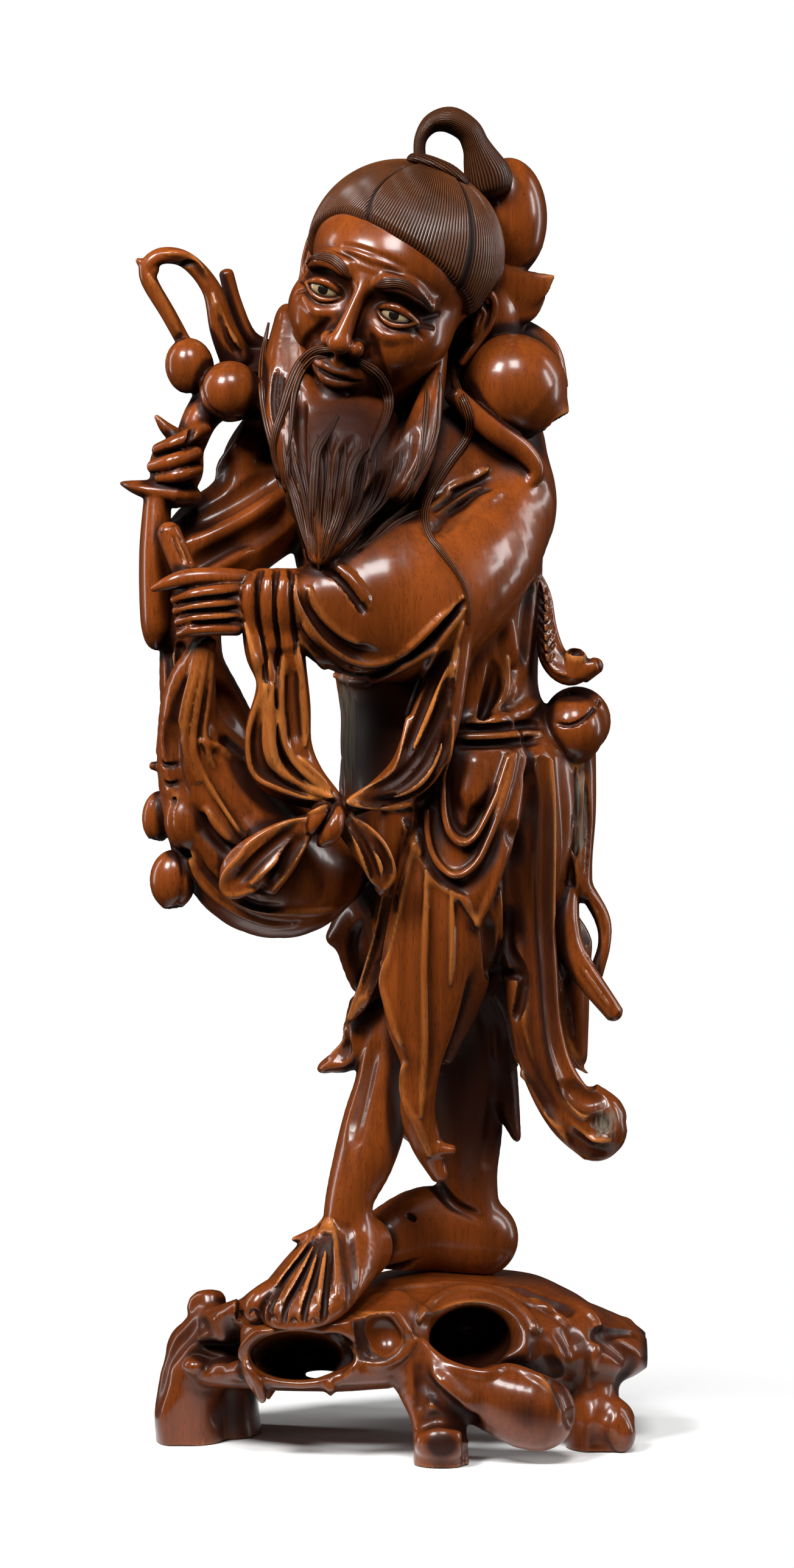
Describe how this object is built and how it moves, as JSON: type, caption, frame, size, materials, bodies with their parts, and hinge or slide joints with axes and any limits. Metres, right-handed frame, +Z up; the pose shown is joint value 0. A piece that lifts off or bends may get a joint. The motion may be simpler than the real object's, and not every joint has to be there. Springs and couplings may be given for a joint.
{
  "type": "carved wooden figure",
  "caption": "Carved hardwood figure of an old bearded man in robes walking with a branch of peaches and a sack, on an openwork root stand.",
  "frame": {"origin": "on the ground under the middle of the bounding box", "axes": "+Z up along the figure, -Y the way the chest faces, +X towards the figure's left side"},
  "size_m": [0.1516, 0.102, 0.3989],
  "materials": {
    "carved_hardwood": "polished and waxed, red-brown, with dark recesses",
    "stand_hardwood": "polished and waxed, red-brown",
    "eye_inlay": "polished pale inlay with a dark pupil"
  },
  "bodies": {
    "root": {"figure": "carved_hardwood", "root_base": "stand_hardwood", "eye_left": "eye_inlay", "eye_right": "eye_inlay"}
  },
  "joints": []
}
